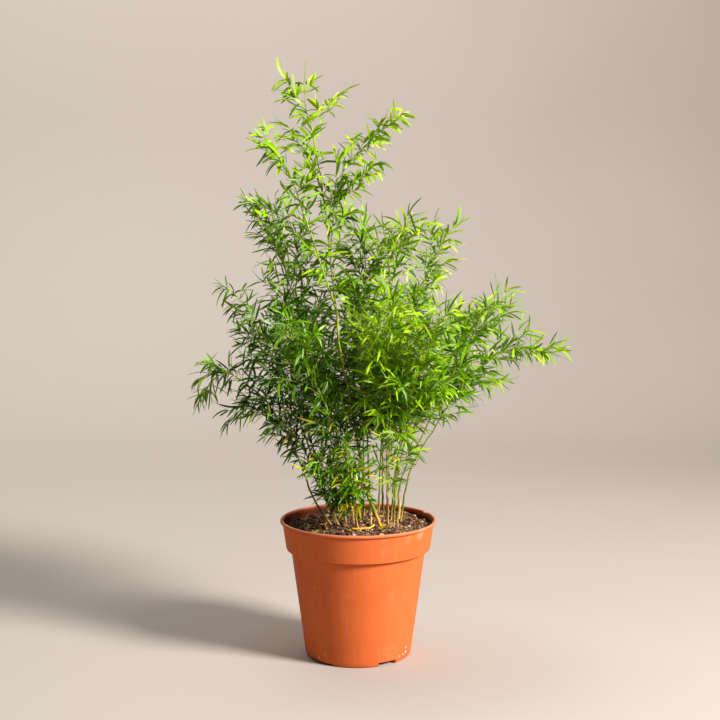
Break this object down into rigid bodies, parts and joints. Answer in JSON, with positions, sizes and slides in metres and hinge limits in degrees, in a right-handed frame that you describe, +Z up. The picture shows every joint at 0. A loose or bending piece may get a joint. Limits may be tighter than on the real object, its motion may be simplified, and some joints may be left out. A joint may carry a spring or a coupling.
{
  "type": "potted asparagus fern",
  "caption": "Bushy asparagus fern with one tall frond and arching stems of narrow leaf-like blades, rooted in compost in a round terracotta-coloured plastic nursery pot.",
  "frame": {"origin": "the middle of the whole plant's footprint (its bounding box seen from above), on the surface that the pot stands on; the pot's own axis is at x -0.0197, y -0.0160", "axes": "+Z up; -Y is the side the picture shows, with the tall frond left of the middle; +X to the viewer's right"},
  "size_m": [0.3784, 0.2403, 0.558],
  "materials": {
    "terracotta_plastic": "satin",
    "compost": "matte",
    "leaf_green": "satin",
    "dry_straw": "matte"
  },
  "bodies": {
    "root": {"pot": "terracotta_plastic", "soil": "compost", "tall_frond": "leaf_green", "upper_left": "leaf_green", "left_high": "leaf_green", "left_arching": "leaf_green", "left_low": "leaf_green", "low_left_front": "leaf_green", "low_front": "leaf_green", "centre": "leaf_green", "dome_left": "leaf_green", "dome_right": "leaf_green", "right_high": "leaf_green", "right_arching": "leaf_green", "right_low": "leaf_green", "front_right": "leaf_green", "front_centre": "leaf_green", "front_left": "leaf_green", "back_right": "leaf_green", "back_left": "leaf_green", "back_centre": "leaf_green", "left_back": "leaf_green", "right_back": "leaf_green", "dry_fork": "dry_straw", "fallen_stem": "dry_straw", "dry_stub_1": "dry_straw", "dry_stub_2": "dry_straw", "dry_stub_3": "dry_straw", "dry_stub_4": "dry_straw"}
  },
  "joints": []
}
